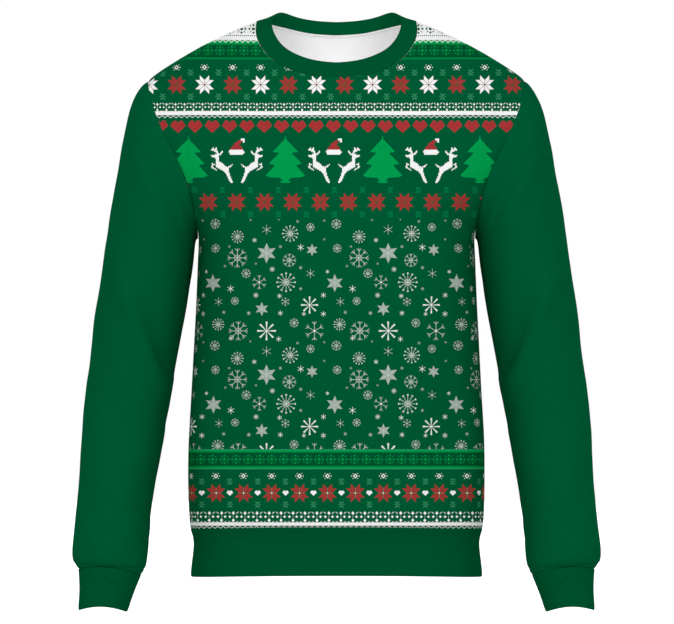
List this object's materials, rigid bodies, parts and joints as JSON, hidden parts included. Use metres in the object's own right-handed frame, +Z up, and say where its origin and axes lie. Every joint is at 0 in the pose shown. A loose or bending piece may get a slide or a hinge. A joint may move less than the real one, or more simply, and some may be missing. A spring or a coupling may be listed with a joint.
{
  "type": "christmas sweater",
  "caption": "Long-sleeved crew-neck sweater, hollow and filled out as if worn, in green printed fleece jersey with rib neckband, hem and cuffs.",
  "frame": {"origin": "centre of the neck opening at the height of the shoulder seams' inner ends, where the wearer's shoulders hold the garment", "axes": "+Z up, front of the garment faces -Y, the wearer's left is +X"},
  "size_m": [0.6612, 0.2393, 0.7512],
  "materials": {
    "printed_fleece": "polyester jersey with a brushed fleece back, printed with a winter pattern in white, red and greens, matt",
    "plain_fleece": "plain green polyester jersey with a brushed fleece back, matt",
    "rib_knit": "green rib knit, folded double, matt"
  },
  "bodies": {
    "root": {"front": "printed_fleece", "back": "printed_fleece", "sleeve_left": "plain_fleece", "sleeve_right": "plain_fleece", "neckband": "rib_knit", "hem_rib": "rib_knit", "cuff_left": "rib_knit", "cuff_right": "rib_knit"}
  },
  "joints": []
}
